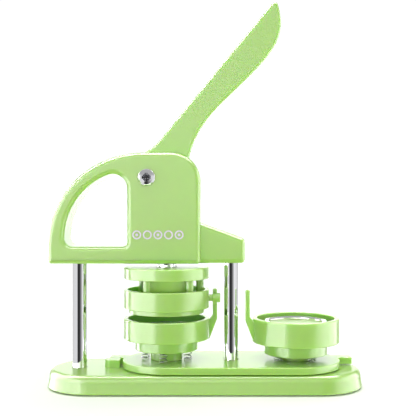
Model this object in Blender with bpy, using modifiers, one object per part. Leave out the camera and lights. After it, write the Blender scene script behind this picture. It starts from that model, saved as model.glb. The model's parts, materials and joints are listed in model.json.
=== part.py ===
"""Button badge maker: a desk press with a two-die turntable, for round pin badges.

All sizes below are millimetres, and the helpers turn them into metres. +Z is up, +X points to the
right-hand die, -Y is the front. The origin is on the table, under the middle of the base.
"""

import math

import bmesh
import bpy
from mathutils import Matrix, Vector

MM = 0.001
GAP = 0.3                       # clearance between pieces that touch
MERGE = 1e-5                    # welding distance, in metres

# Driving dimensions
BASE_LENGTH = 300
BASE_WIDTH = 90
BASE_TOP = 18
COLUMN_R = 7
COLUMN_X = {"left": -120.4, "right": 25}
TURNTABLE_X = COLUMN_X["right"]
DIE_ORBIT = 62                  # from the turntable's pivot to each die's axis
PUNCH_X = TURNTABLE_X - DIE_ORBIT
PLATE_BOTTOM = 19
PLATE_TOP = 25.6
PLATE_R = 42
HEAD_BOTTOM = 118.3
HEAD_TOP = 222.8
HEAD_HALF = 21.5                # half the head's thickness
HEAD_LEFT = -147.5
HEAD_RIGHT = -4.3
HEAD_WALL = 3
ARM_HALF = 12                   # half the thickness of the head's arm to the right column
PIVOT_X = -54.5
PIVOT_Z = 199.2
LEVER_HALF = 9
CAP_TOP = 185.7                 # where the lever's cam meets the plunger
CUP_RIM = 65.4
CUP_WALL_R = 37                 # inside of a die cup
SPRING_R = 3.5                  # middle of a die spring's wire
STOP_HALF = 6.5                 # half the turn stop's width
LUG = {"near": 6.8, "far": 20, "reach": 117.5}

# Sides of a round piece: large, medium and small
ROUND = 28
MEDIUM = 20
SMALL = 12

# Screws that close the head, (x, z)
HEAD_SCREWS = [(-134.5, 127.5), (-98.4, 205.8), (-64, 127.5), (-13.5, 128), (7, 130)]
COVER_SCREWS = [(-80, -30), (-80, 30), (72, -30), (72, 30)]
FEET = [(-116, -24), (-116, 24), (116, -24), (116, 24)]


# ---------------------------------------------------------------- scene and helpers

def clear_scene():
    for obj in list(bpy.data.objects):
        bpy.data.objects.remove(obj)


def new_collection(name):
    collection = bpy.data.collections.new(name)
    bpy.context.scene.collection.children.link(collection)
    return collection


clear_scene()
PARTS = new_collection("button_badge_maker")
CUTTERS = new_collection("cutters")


def material(name, colour, roughness, metallic=0.0):
    made = bpy.data.materials.new(name)
    made.use_nodes = True
    shader = made.node_tree.nodes["Principled BSDF"]
    shader.inputs["Base Color"].default_value = (*colour, 1)
    shader.inputs["Roughness"].default_value = roughness
    shader.inputs["Metallic"].default_value = metallic
    made.diffuse_color = (*colour, 1)
    return made


GREEN = material("green_abs", (0.42, 0.66, 0.21), 0.3)
CHROME = material("chrome", (0.8, 0.8, 0.82), 0.08, 1.0)
STEEL = material("zinc_steel", (0.6, 0.6, 0.62), 0.3, 1.0)
SPRING_STEEL = material("spring_steel", (0.55, 0.55, 0.57), 0.25, 1.0)
RUBBER = material("rubber", (0.03, 0.03, 0.03), 0.8)
NYLON = material("nylon", (0.8, 0.8, 0.76), 0.45)


def origin_of(empty):
    """Where an empty is in the world. It is the sum of the locations up its chain, since none is turned."""
    origin = Vector()
    while empty:
        origin += empty.location
        empty = empty.parent
    return origin


def body_empty(name, x=0, z=0, parent=None):
    """An empty at a body's joint. Every empty here has y = 0."""
    empty = bpy.data.objects.new(name, None)
    PARTS.objects.link(empty)
    empty.parent = parent
    empty.location = Vector((x * MM, 0, z * MM)) - origin_of(parent)
    return empty


FRAME = body_empty("frame_body")
LEVER = body_empty("lever_body", PIVOT_X, PIVOT_Z, FRAME)
PLUNGER = body_empty("plunger_body", PUNCH_X, 0, FRAME)
UPPER_RING = body_empty("upper_ring_body", PUNCH_X, 0, PLUNGER)
SELECTOR = body_empty("selector_body", PUNCH_X, 0, UPPER_RING)
TURNTABLE = body_empty("turntable_body", TURNTABLE_X, 0, FRAME)
DIE_A = body_empty("die_a_cup_body", PUNCH_X, 0, TURNTABLE)
DIE_B = body_empty("die_b_cup_body", TURNTABLE_X + DIE_ORBIT, 0, TURNTABLE)


def bmesh_object(name, bm, finish, parent, cutter=False):
    mesh = bpy.data.meshes.new(name)
    bmesh.ops.recalc_face_normals(bm, faces=bm.faces)
    bm.to_mesh(mesh)
    bm.free()
    return mesh_object(name, mesh, finish, parent, cutter)


def mesh_object(name, mesh, finish, parent, cutter=False):
    """An object whose mesh holds world millimetres times MM, moved to its parent's origin."""
    obj = bpy.data.objects.new(name, mesh)
    mesh.transform(Matrix.Translation(-origin_of(parent)))
    mesh.shade_smooth()
    mesh.set_sharp_from_angle(angle=math.radians(35))
    obj.parent = parent
    if cutter:
        CUTTERS.objects.link(obj)
        obj.hide_render = True
        obj.display_type = "WIRE"
        return obj
    PARTS.objects.link(obj)
    mesh.materials.append(finish)
    return obj


TURN_TO = {
    "Z": Matrix.Identity(4),
    "-Y": Matrix.Rotation(math.radians(90), 4, "X"),
    "X": Matrix.Rotation(math.radians(90), 4, "Y"),
}


def placed(at, direction):
    """Local millimetres along +Z to world metres along the given direction, from the point at."""
    return Matrix.Translation(Vector(at) * MM) @ TURN_TO[direction] @ Matrix.Scale(MM, 4)


def cylinder(name, radius, low, high, finish=None, parent=FRAME, at=(0, 0, 0), direction="Z",
             sides=MEDIUM, cutter=False):
    bm = bmesh.new()
    bmesh.ops.create_cone(
        bm, cap_ends=True, segments=sides, radius1=radius, radius2=radius, depth=high - low,
        matrix=Matrix.Translation((0, 0, (low + high) / 2)))
    bm.transform(placed(at, direction))
    return bmesh_object(name, bm, finish, parent, cutter)


def box_cutter(name, low, high, parent=FRAME):
    bm = bmesh.new()
    size = Vector(high) - Vector(low)
    middle = (Vector(high) + Vector(low)) / 2
    bmesh.ops.create_cube(bm, size=1)
    bm.transform(Matrix.Scale(MM, 4) @ Matrix.Translation(middle) @ Matrix.Diagonal((*size, 1)))
    return bmesh_object(name, bm, None, parent, cutter=True)


def turned(name, profile, finish=None, parent=FRAME, at=(0, 0, 0), direction="Z", steps=ROUND,
           cutter=False):
    """A profile of (radius, height) points, which runs outwards and then down its outer side."""
    mesh = bpy.data.meshes.new(name)
    open_profile = profile[0][0] == 0
    count = len(profile)
    edges = [(i, (i + 1) % count) for i in range(count - open_profile)]
    mesh.from_pydata([(r * MM, 0, z * MM) for r, z in profile], edges, [])
    obj = bpy.data.objects.new(name, mesh)
    (CUTTERS if cutter else PARTS).objects.link(obj)
    screw = obj.modifiers.new("turn", "SCREW")
    screw.angle = 2 * math.pi
    screw.steps = steps
    screw.render_steps = steps
    screw.use_merge_vertices = True
    screw.merge_threshold = MERGE
    screw.use_smooth_shade = True
    obj.parent = parent
    obj.location = Vector(at) * MM - origin_of(parent)
    obj.rotation_euler = TURN_TO[direction].to_euler()
    if cutter:
        obj.hide_render = True
        obj.display_type = "WIRE"
    else:
        mesh.materials.append(finish)
    return obj


def curve_to_mesh(name, curve, matrix):
    """A curve's solid as a mesh in world metres, with its caps welded on."""
    made_from = bpy.data.objects.new(name + "_curve", curve)
    bpy.context.scene.collection.objects.link(made_from)
    graph = bpy.context.evaluated_depsgraph_get()
    mesh = bpy.data.meshes.new_from_object(made_from.evaluated_get(graph))
    bpy.data.objects.remove(made_from)
    bm = bmesh.new()
    bm.from_mesh(mesh)
    bmesh.ops.remove_doubles(bm, verts=bm.verts, dist=MERGE / 10)
    bmesh.ops.dissolve_limit(bm, angle_limit=math.radians(0.2), verts=bm.verts, edges=bm.edges)
    bm.transform(matrix)
    bmesh.ops.recalc_face_normals(bm, faces=bm.faces)
    bm.to_mesh(mesh)
    bm.free()
    mesh.materials.clear()
    return mesh


def outline_solid(name, loops, low, high, finish=None, parent=FRAME, edge=0, upright=True,
                  cutter=False):
    """A flat outline with holes, extruded along +Z from low to high with rounded edges.

    An upright one is drawn in X and Z and extruded along Y, with high at the back.
    """
    curve = bpy.data.curves.new(name, "CURVE")
    curve.dimensions = "2D"
    curve.fill_mode = "BOTH"
    for loop in loops:
        spline = curve.splines.new("POLY")
        spline.points.add(len(loop) - 1)
        spline.use_cyclic_u = True
        for point, (x, y) in zip(spline.points, loop):
            point.co = (x * MM, y * MM, 0, 1)
    curve.extrude = ((high - low) / 2 - edge) * MM
    curve.bevel_depth = edge * MM
    curve.bevel_resolution = 1
    curve.offset = -edge * MM
    if upright:
        matrix = Matrix.Translation((0, (low + high) / 2 * MM, 0)) @ TURN_TO["-Y"]
    else:
        matrix = Matrix.Translation((0, 0, (low + high) / 2 * MM))
    return mesh_object(name, curve_to_mesh(name, curve, matrix), finish, parent, cutter)


def boolean(obj, operation, tool):
    modifier = obj.modifiers.new(tool.name, "BOOLEAN")
    modifier.operation = operation
    modifier.solver = "EXACT"
    modifier.object = tool


def cut(obj, *tools):
    for tool in tools:
        boolean(obj, "DIFFERENCE", tool)


def join(obj, *tools):
    for tool in tools:
        boolean(obj, "UNION", tool)


# ---------------------------------------------------------------- outlines

def arc(centre, radius, start, end, steps):
    """Points on an arc between two angles in degrees, both ends included."""
    angles = [math.radians(start + (end - start) * i / steps) for i in range(steps + 1)]
    return [(centre[0] + radius * math.cos(a), centre[1] + radius * math.sin(a)) for a in angles]


def stadium_outline(half_length, radius, steps):
    """Two half circles whose centres are half_length from the middle, along X."""
    return arc((half_length, 0), radius, -90, 90, steps) + arc((-half_length, 0), radius, 90, 270, steps)


def head_outline(inset=0):
    """The head's side view: upright left foot, superellipse shoulder, flat top and rounded corner."""
    power = 2 / 2.1
    centre_x = -55
    shoulder_z = 132
    width = centre_x - HEAD_LEFT - inset
    height = HEAD_TOP - shoulder_z - inset
    shoulder = []
    for i in range(13):
        angle = math.radians(90 * i / 12)
        across = max(math.cos(angle), 0) ** power
        up = math.sin(angle) ** power
        shoulder.append((centre_x - width * across, shoulder_z + height * up))
    corner_r = 27
    corner = arc((HEAD_RIGHT - corner_r, HEAD_TOP - corner_r), corner_r - inset, 90, 0, 7)
    foot_r = 3.5
    right_foot = arc((HEAD_RIGHT - foot_r, HEAD_BOTTOM + foot_r), max(foot_r - inset, 0.5), 0, -90, 2)
    left_foot = arc((HEAD_LEFT + foot_r, HEAD_BOTTOM + foot_r), max(foot_r - inset, 0.5), 270, 180, 2)
    return shoulder + corner + right_foot + left_foot


def window_outline(grow=0):
    """The hand opening: a long arc on the left, an upright right side and three rounded corners."""
    arc_centre = Vector((-68.2, 142))
    arc_r = 64
    right = -73.2
    bottom = 134.4
    top_r = 13.5
    low_left_r = 8
    low_right_r = 4
    top_x = right - top_r
    top_z = arc_centre.y + math.sqrt((arc_r - top_r) ** 2 - (top_x - arc_centre.x) ** 2)
    left_z = bottom + low_left_r
    left_x = arc_centre.x - math.sqrt((arc_r - low_left_r) ** 2 - (left_z - arc_centre.y) ** 2)
    left_turn = math.degrees(math.atan2(left_z - arc_centre.y, left_x - arc_centre.x))
    top_turn = math.degrees(math.atan2(top_z - arc_centre.y, top_x - arc_centre.x))
    return (
        arc(arc_centre, arc_r + grow, left_turn, top_turn, 8)
        + arc((top_x, top_z), top_r + grow, top_turn, 0, 6)[1:]
        + arc((right - low_right_r, bottom + low_right_r), low_right_r + grow, 0, -90, 3)
        + arc((left_x, left_z), low_left_r + grow, 270, left_turn, 4)[:-1])


def arm_outline():
    """The head's arm over the right column, seen from the front. Its top slopes down."""
    start = HEAD_RIGHT - 8
    end = 37.9
    root_z = 156.7
    slope = 0.365
    corner_r = 4.6
    foot_r = 4.2
    top_at_end = root_z - slope * (end - HEAD_RIGHT)
    return [
        (start, HEAD_BOTTOM), *arc((end - foot_r, HEAD_BOTTOM + foot_r), foot_r, -90, 0, 2),
        *arc((end - corner_r, top_at_end - corner_r), corner_r, 0, 70, 3),
        (start, root_z + slope * (HEAD_RIGHT - start))]


def lever_outline():
    """Hub, cam and handle, seen from the front with the lever raised. The cam pushes the plunger's cap."""
    cam_turn = math.radians(14)
    cam = Vector((PIVOT_X, PIVOT_Z)) + 21.2 * Vector((math.cos(cam_turn), math.sin(cam_turn)))
    handle = [
        (-15.2, 218.7), (-13.7, 224.4), (-10.4, 233.9), (-5.7, 243.4), (0.45, 253), (8, 262.5),
        (17.1, 272), (36.8, 291.1), (46.4, 300.6), (55.3, 310.1), (62.7, 319.6), (68.3, 329.1),
        (71.5, 338.7), (72.4, 348), (71.2, 357.7), (69.4, 364.6), (67.6, 366.8), (65.2, 366.4),
        (62.6, 364), (-40.6, 238.2), (-45.2, 232.8), (-50.6, 228), (-57.5, 223.8)]
    hub = arc((PIVOT_X, PIVOT_Z), 13, 170, 268, 8)
    cam_edge = arc(cam, 18, 270, 360, 8)
    return hub + cam_edge + handle


# ---------------------------------------------------------------- base

def base_profile(radius, low, high, draft, edge):
    """Half section of the base's end, from the top down: rounded top edge, drafted side, small foot radius.

    The edge is (how far in, how far down).
    """
    top = [(radius - draft - edge[0] * (1 - math.sin(a)), high - edge[1] * (1 - math.cos(a)))
           for a in (0, math.radians(22), math.radians(45), math.radians(68), math.radians(90))]
    return top + [(radius, low + 1.5), (radius - 0.4, low + 0.4), (radius - 1.4, low)]


def stretched_puck(name, profile, half_length, sides, finish=None, cutter=False):
    """A turned puck whose two halves are moved apart along X, which makes a stadium with drafted ends."""
    bm = bmesh.new()
    rings = []
    for radius, height in profile:
        circle = bmesh.ops.create_circle(bm, segments=sides, radius=radius * MM / math.cos(math.pi / sides))
        ring = circle["verts"]
        for vert in ring:
            turn = math.atan2(vert.co.y, vert.co.x) + math.pi / sides
            flat = vert.co.xy.length
            vert.co = (flat * math.cos(turn), flat * math.sin(turn), height * MM)
            vert.co.x += math.copysign(half_length * MM, vert.co.x)
        rings.append([edge for vert in ring for edge in vert.link_edges])
    for upper, lower in zip(rings, rings[1:]):
        bmesh.ops.bridge_loops(bm, edges=list(set(upper + lower)))
    bmesh.ops.holes_fill(bm, edges=bm.edges, sides=0)
    return bmesh_object(name, bm, finish, FRAME, cutter)


def make_base():
    half = BASE_LENGTH / 2 - BASE_WIDTH / 2
    wall = 3
    bottom = 1.2
    top_edge = (4.8, 7.5)
    shell = stretched_puck("base_shell", base_profile(BASE_WIDTH / 2, bottom, BASE_TOP, 1.2, top_edge),
                           half, ROUND, GREEN)
    hollow = stretched_puck("base_hollow", [(40.2, BASE_TOP - wall), (42, bottom - 1)], half, ROUND, cutter=True)
    cut(shell, hollow)
    stop_end = TURNTABLE_X - 106.5
    stop_x = stop_end - 14.7 + STOP_HALF
    stop = outline_solid(
        "turn_stop",
        [[(stop_end, -STOP_HALF), (stop_end, STOP_HALF)] + arc((stop_x, 0), STOP_HALF, 90, 270, 8)],
        BASE_TOP - 1, PLATE_TOP, upright=False, cutter=True)
    join(shell, stop)
    boss_bottom = 9.8
    for side, x in COLUMN_X.items():
        boss = cylinder(f"column_boss_{side}", 11.5, boss_bottom, BASE_TOP - 1, at=(x, 0, 0), cutter=True)
        join(shell, boss)
    for i, (x, y) in enumerate(COVER_SCREWS):
        boss = cylinder(f"cover_boss_{i}", 4, 5.4, BASE_TOP - 1, at=(x, y, 0), sides=SMALL, cutter=True)
        join(shell, boss)
    for side, x in COLUMN_X.items():
        socket = cylinder(f"column_socket_{side}", COLUMN_R + GAP, 12.6, 30, at=(x, 0, 0), sides=MEDIUM, cutter=True)
        hole = cylinder(f"column_bolt_hole_{side}", 3.4, 5, 14, at=(x, 0, 0), cutter=True)
        cut(shell, socket, hole)
    for i, (x, y) in enumerate(COVER_SCREWS):
        cut(shell, cylinder(f"cover_pilot_{i}", 1.9, 3, 13, at=(x, y, 0), sides=SMALL, cutter=True))


def make_base_cover():
    cover = stretched_puck("base_cover", [(41, 5.1), (41, 3)], BASE_LENGTH / 2 - BASE_WIDTH / 2, ROUND, GREEN)
    for i, (x, y) in enumerate(COVER_SCREWS):
        cut(cover, cylinder(f"cover_hole_{i}", 1.9, 2, 7, at=(x, y, 0), sides=SMALL, cutter=True))
        turned(f"cover_screw_{i + 1}",
               [(0, 12.2), (1.5, 12.2), (1.5, 2.7), (3.6, 2.7), (3.2, 1.4), (0, 1.2)],
               STEEL, at=(x, y, 0), steps=SMALL)
    for i, (x, y) in enumerate(FEET):
        turned(f"rubber_foot_{i + 1}", [(0, 2.7), (8, 2.7), (8, 0.8), (7.2, 0), (0, 0)],
               RUBBER, at=(x, y, 0), steps=MEDIUM)


def make_columns():
    tops = {"left": 131, "right": 135}
    for side, x in COLUMN_X.items():
        column = turned(
            f"column_{side}",
            [(0, tops[side]), (COLUMN_R - 0.6, tops[side]), (COLUMN_R, tops[side] - 0.6),
             (COLUMN_R, 13.5), (COLUMN_R - 0.6, 12.9), (0, 12.9)],
            CHROME, at=(x, 0, 0), steps=MEDIUM)
        cut(column, cylinder(f"column_thread_{side}", 3, 10, 27.5, at=(x, 0, 0), sides=SMALL, cutter=True))
        turned(f"column_bolt_{side}",
               [(0, 26), (2.7, 26), (2.7, 8.5), (5, 8.5), (5, 6.4), (4.2, 5.4), (0, 5.4)],
               STEEL, at=(x, 0, 0), steps=SMALL)
        turned(f"column_washer_{side}", [(3.1, 9.5), (8, 9.5), (8, 8.8), (3.1, 8.8)],
               STEEL, at=(x, 0, 0), steps=MEDIUM)


# ---------------------------------------------------------------- head

def make_head_shell(name, side):
    """One half of the head. side is -1 for the front half and +1 for the rear half."""
    shell = outline_solid(name, [head_outline(), window_outline()], -HEAD_HALF, HEAD_HALF, GREEN, edge=4.5)
    hollow = outline_solid(f"{name}_hollow", [head_outline(HEAD_WALL), window_outline(HEAD_WALL)],
                           -HEAD_HALF + HEAD_WALL, HEAD_HALF - HEAD_WALL, cutter=True)
    cut(shell, hollow)
    arm = outline_solid(f"{name}_arm", [arm_outline()], -ARM_HALF, ARM_HALF, edge=4, cutter=True)
    join(shell, arm)
    back = HEAD_HALF - 1
    foot = cylinder(f"{name}_foot", 12, HEAD_BOTTOM + 1, 134.2, at=(COLUMN_X["left"], 0, 0), cutter=True)
    join(shell, foot)
    for i, (x, z) in enumerate(HEAD_SCREWS[:4]):
        boss = cylinder(f"{name}_boss_{i}", 5.6, -back, back, at=(x, 0, z), direction="-Y", sides=SMALL,
                        cutter=True)
        join(shell, boss)
    rib_z = 126
    rib = box_cutter(f"{name}_rib", (PUNCH_X - 24, -back, rib_z), (PUNCH_X + 17, back, rib_z + HEAD_WALL))
    join(shell, rib)
    cut(shell, *head_cutters(name))
    low, high = sorted((-side * 40, side * GAP / 2))
    cut(shell, box_cutter(f"{name}_parting", (-200, low, 90), (90, high, 260)))
    return shell


def head_cutters(name):
    """What both halves leave room for: columns, rod, bush, lever slot and pivot bolt."""
    slot_half = LEVER_HALF + 0.7
    return [
        cylinder(f"{name}_left_socket", COLUMN_R + GAP, 110, 131.4, at=(COLUMN_X["left"], 0, 0),
                 sides=MEDIUM, cutter=True),
        cylinder(f"{name}_right_socket", COLUMN_R + GAP, 110, 135.4, at=(COLUMN_X["right"], 0, 0),
                 sides=MEDIUM, cutter=True),
        cylinder(f"{name}_rod_hole", 10.3, 110, 122, at=(PUNCH_X, 0, 0), sides=MEDIUM, cutter=True),
        cylinder(f"{name}_bush_seat", 13.8, 125, 131, at=(PUNCH_X, 0, 0), sides=MEDIUM, cutter=True),
        box_cutter(f"{name}_lever_slot", (-61.5, -slot_half, 183), (10, slot_half, 240)),
        cylinder(f"{name}_pivot_hole", 4.3, -40, 40, at=(PIVOT_X, 0, PIVOT_Z), direction="-Y", cutter=True),
    ]


def make_head():
    """Both halves, and the screws put in from behind. The last screw is in the arm, which is thinner."""
    front = make_head_shell("head_front_shell", -1)
    rear = make_head_shell("head_rear_shell", 1)
    reaches = [10] * (len(HEAD_SCREWS) - 1) + [5]
    screw_r = 1.5
    head_r = 3.3
    seat = -5
    outside = HEAD_HALF + 8
    for i, ((x, z), reach) in enumerate(zip(HEAD_SCREWS, reaches)):
        at = (x, 0, z)
        hole_r = screw_r + GAP
        cut(front, cylinder(f"pilot_{i}", hole_r, -1, reach + 1, at=at, direction="-Y", sides=SMALL, cutter=True))
        cut(rear,
            cylinder(f"clearance_{i}", hole_r, -outside, 1, at=at, direction="-Y", sides=SMALL, cutter=True),
            cylinder(f"counterbore_{i}", head_r + 0.5, -outside, seat, at=at, direction="-Y", sides=SMALL,
                     cutter=True))
        turned(f"head_screw_{i + 1}",
               [(0, reach), (screw_r, reach), (screw_r, seat - GAP), (head_r, seat - GAP),
                (head_r - GAP, seat - 2.3), (0, seat - 2.6)],
               STEEL, at=at, direction="-Y", steps=SMALL)


def make_pivot():
    at = (PIVOT_X, 0, PIVOT_Z)
    inside = HEAD_HALF - HEAD_WALL
    face = HEAD_HALF + GAP
    turned("pivot_bolt",
           [(0, face + 5.2), (3.5, face + 5), (6.6, face + 3.6), (8.2, face + 1.2), (8.2, face),
            (3.9, face), (3.9, -31), (0, -31)],
           CHROME, at=at, direction="-Y", steps=MEDIUM)
    nut = cylinder("pivot_nut", 7.5, -face - 6.5, -face, STEEL, at=at, direction="-Y", sides=6)
    cut(nut, cylinder("nut_hole", 4.2, -40, 0, at=at, direction="-Y", cutter=True))
    turned("pivot_sleeve", [(4.3, inside - 0.5), (6.2, inside - 0.5), (6.2, -inside + 0.5), (4.3, -inside + 0.5)],
           NYLON, at=at, direction="-Y", steps=MEDIUM)
    for side, sign in (("front", 1), ("rear", -1)):
        near = sign * (LEVER_HALF + GAP)
        far = sign * (inside - GAP)
        low, high = sorted((near, far))
        turned(f"pivot_spacer_{side}", [(6.5, high), (10, high), (10, low), (6.5, low)],
               NYLON, at=at, direction="-Y", steps=MEDIUM)


def make_lever():
    lever = outline_solid("lever", [lever_outline()], -LEVER_HALF, LEVER_HALF, GREEN, LEVER, edge=2.5)
    hole = cylinder("lever_hole", 6.5, -20, 20, parent=LEVER, at=(PIVOT_X, 0, PIVOT_Z), direction="-Y",
                    sides=MEDIUM, cutter=True)
    cut(lever, hole)


# ---------------------------------------------------------------- plunger, punch and ring

def coil(name, radius, wire, low, high, turns, finish, parent, at, points_per_turn=10):
    """A round coil spring between two heights, as a wire along a helix."""
    curve = bpy.data.curves.new(name, "CURVE")
    curve.dimensions = "3D"
    curve.bevel_depth = wire / 2 * MM
    curve.bevel_resolution = 0
    curve.use_fill_caps = True
    spline = curve.splines.new("POLY")
    count = int(turns * points_per_turn)
    spline.points.add(count)
    rise = high - low - wire
    for i, point in enumerate(spline.points):
        angle = 2 * math.pi * i / points_per_turn
        height = low + wire / 2 + rise * i / count
        point.co = (radius * math.cos(angle) * MM, radius * math.sin(angle) * MM, height * MM, 1)
    mesh = curve_to_mesh(name, curve, Matrix.Translation(Vector(at) * MM))
    return mesh_object(name, mesh, finish, parent)


def make_plunger():
    at = (PUNCH_X, 0, 0)
    rod = turned("plunger_rod",
                 [(0, CAP_TOP - 6.5), (8.9, CAP_TOP - 6.5), (9.5, CAP_TOP - 7.1), (9.5, 111.9), (9, 111.4), (0, 111.4)],
                 CHROME, PLUNGER, at, steps=MEDIUM)
    cut(rod,
        cylinder("rod_thread_top", 2.9, CAP_TOP - 22, 200, parent=PLUNGER, at=at, sides=SMALL, cutter=True),
        cylinder("rod_thread_bottom", 3.4, 100, 129, parent=PLUNGER, at=at, sides=SMALL, cutter=True))
    turned("plunger_cap",
           [(3, CAP_TOP), (12.5, CAP_TOP), (14, CAP_TOP - 1.5), (14, CAP_TOP - 8.2), (9.9, CAP_TOP - 8.2),
            (9.9, CAP_TOP - 6.2), (3, CAP_TOP - 6.2)],
           STEEL, PLUNGER, at, steps=MEDIUM)
    turned("plunger_cap_screw", [(0, CAP_TOP - 0.6), (2.6, CAP_TOP - 0.6), (2.6, CAP_TOP - 20), (0, CAP_TOP - 20)],
           STEEL, PLUNGER, at, steps=SMALL)
    turned("plunger_bush",
           [(9.85, 146), (13.5, 146), (13.5, 125.6), (16.5, 125.6), (16.5, 121.8), (9.85, 121.8)],
           NYLON, FRAME, at, steps=MEDIUM)
    coil("plunger_return_spring", 12.1, 1.8, 146.3, CAP_TOP - 8.5, 5, SPRING_STEEL, FRAME, at, 10)


def make_punch():
    at = (PUNCH_X, 0, 0)
    turned("punch_disc",
           [(9.9, 114.3), (40.2, 114.3), (40.8, 113.7), (40.8, 103.5), (37.9, 103.5), (37.9, 111.7), (9.9, 111.7)],
           GREEN, PLUNGER, at)
    turned("punch_hub", [(4, 111.1), (19.75, 111.1), (19.75, 86.3), (4, 86.3)], GREEN, PLUNGER, at)
    turned("punch_plate",
           [(4, 86), (28.8, 86), (28.8, 81.8), (28, 81), (8.2, 81), (4, 84)],
           STEEL, PLUNGER, at)
    turned("punch_screw",
           [(0, 126), (3, 126), (3, 84.2), (3.4, 83.8), (7.1, 81.2), (0, 81.2)],
           STEEL, PLUNGER, at, steps=MEDIUM)


def make_upper_ring():
    at = (PUNCH_X, 0, 0)
    ring = turned("upper_ring",
                  [(37.3, 93), (40.2, 93), (40.8, 92.4), (40.8, 75.9), (40.2, 75.3), (36.2, 75.3),
                   (36.2, 71.3), (35.7, 70.8), (30.1, 70.8), (30.1, 79), (37.3, 79)],
                  GREEN, UPPER_RING, at, steps=ROUND)
    first, last = -6, 36
    slot_points = arc((PUNCH_X, 0), 34, last, first, 6) + arc((PUNCH_X, 0), 46, first, last, 6)
    slot = outline_solid("peg_slot", [slot_points], 80.7, 88.1, parent=UPPER_RING, upright=False, cutter=True)
    cut(ring, slot)


def make_selector():
    at = (PUNCH_X, 0, 0)
    selector = turned("selector_ring", [(30.5, 89), (36.8, 89), (36.8, 79.4), (30.5, 79.4)],
                      GREEN, SELECTOR, at, steps=ROUND)
    post_orbit = 32.4
    for i, angle in enumerate((-121, -46, 10, 141)):
        x = PUNCH_X + post_orbit * math.cos(math.radians(angle))
        y = post_orbit * math.sin(math.radians(angle))
        post = cylinder(f"selector_post_{i}", 3.7, 88, 104.1, parent=SELECTOR, at=(x, y, 0), sides=SMALL, cutter=True)
        join(selector, post)
    socket = cylinder("peg_socket", 2.6, 28, 45, parent=SELECTOR, at=(PUNCH_X, 0, 84.4), direction="X",
                      sides=SMALL, cutter=True)
    cut(selector, socket)
    turned("selector_peg",
           [(0, 51.5), (4.1, 51.5), (4.5, 51.1), (4.5, 44.6), (4.1, 44.2), (3.2, 44.2), (3.2, 37.3),
            (2.2, 37.3), (2.2, 31), (0, 31)],
           GREEN, SELECTOR, (PUNCH_X, 0, 84.4), "X", SMALL)


# ---------------------------------------------------------------- turntable and dies

def make_turntable():
    plate = outline_solid("turntable_plate", [stadium_outline(DIE_ORBIT, PLATE_R, SMALL)],
                          PLATE_BOTTOM, PLATE_TOP, GREEN, TURNTABLE, edge=0.6, upright=False)
    plate.data.transform(Matrix.Translation((TURNTABLE_X * MM, 0, 0)))
    for side, sign in (("left", -1), ("right", 1)):
        inner = TURNTABLE_X + sign * (PLATE_R + DIE_ORBIT - 14)
        outer = TURNTABLE_X + sign * LUG["reach"]
        lug = box_cutter(f"lug_{side}", (min(inner, outer), LUG["near"], PLATE_BOTTOM),
                         (max(inner, outer), LUG["far"], PLATE_TOP), TURNTABLE)
        join(plate, lug)
    cut(plate, cylinder("pivot_bore", COLUMN_R + 0.4, 0, 40, parent=TURNTABLE, at=(TURNTABLE_X, 0, 0),
                        sides=MEDIUM, cutter=True))
    for die, sign in (("a", -1), ("b", 1)):
        at = (TURNTABLE_X + sign * DIE_ORBIT, 0, 0)
        cut(plate,
            cylinder(f"die_{die}_hole", 2.9, 0, 40, parent=TURNTABLE, at=at, sides=SMALL, cutter=True),
            cylinder(f"die_{die}_counterbore", 5.6, 10, 22.2, parent=TURNTABLE, at=at, cutter=True))
    turned("turntable_washer",
           [(COLUMN_R + 0.4, 18.75), (13, 18.75), (13, 18.25), (COLUMN_R + 0.4, 18.25)],
           NYLON, FRAME, (TURNTABLE_X, 0, 0), steps=MEDIUM)


def switch_arm(die, parent, sign, die_sign):
    """The bar on a cup that swings the selector peg. Its outline is drawn in X and Z."""
    near, far = 13.4, 17.6
    tip = 20.8
    top = 92.6
    rim = 63.5
    root = 24
    points = [(near, top), (far, top), (far, CUP_RIM + 2), (far + 3, CUP_RIM - 2), (root, CUP_RIM - 2.5),
              (root, 44.6), (tip, 44.2), (near, rim)]
    outline = [(TURNTABLE_X + die_sign * u, z) for u, z in points]
    middle = sign * 6.9
    return outline_solid(f"die_{die}_arm", [outline], middle - 2.1, middle + 2.1, parent=parent, cutter=True)


def die_springs(die, parent, at, orbit, first_angle, top):
    for i in range(4):
        angle = math.radians(first_angle + 90 * i)
        spot = (at[0] + orbit * math.cos(angle), orbit * math.sin(angle), 0)
        coil(f"die_{die}_spring_{i + 1}", SPRING_R, 0.9, PLATE_TOP + GAP, top, 4, SPRING_STEEL, TURNTABLE, spot, 6)
        yield cylinder(f"die_{die}_pocket_{i}", SPRING_R + 1.1, 10, top + GAP, parent=parent, at=spot,
                       sides=SMALL, cutter=True)


def make_die_a():
    at = (PUNCH_X, 0, 0)
    cup = turned("die_a_cup",
                 [(CUP_WALL_R, CUP_RIM), (40.4, CUP_RIM), (41, CUP_RIM - 0.6), (41, 46.7), (40.4, 46.1), (30, 46.1),
                  (30, 36.3), (29.4, 35.7), (15.4, 35.7), (15.4, 52.6), (CUP_WALL_R, 52.6)],
                 GREEN, DIE_A, at, steps=ROUND)
    join(cup, switch_arm("a", DIE_A, 1, -1))
    cut(cup, *die_springs("a", DIE_A, at, 20.5, -95, 41))
    post = turned("die_a_post", [(0, 52.4), (15, 52.4), (15, PLATE_TOP + GAP), (0, PLATE_TOP + GAP)],
                  GREEN, TURNTABLE, at, steps=MEDIUM)
    cut(post, cylinder("die_a_thread", 2.7, 10, 42, parent=TURNTABLE, at=at, sides=SMALL, cutter=True))
    turned("die_a_disc", [(0, 57.9), (28.3, 57.9), (29, 57.2), (29, 52.9), (0, 52.9)], CHROME, TURNTABLE, at)
    die_screw("a", at, 40)


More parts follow.
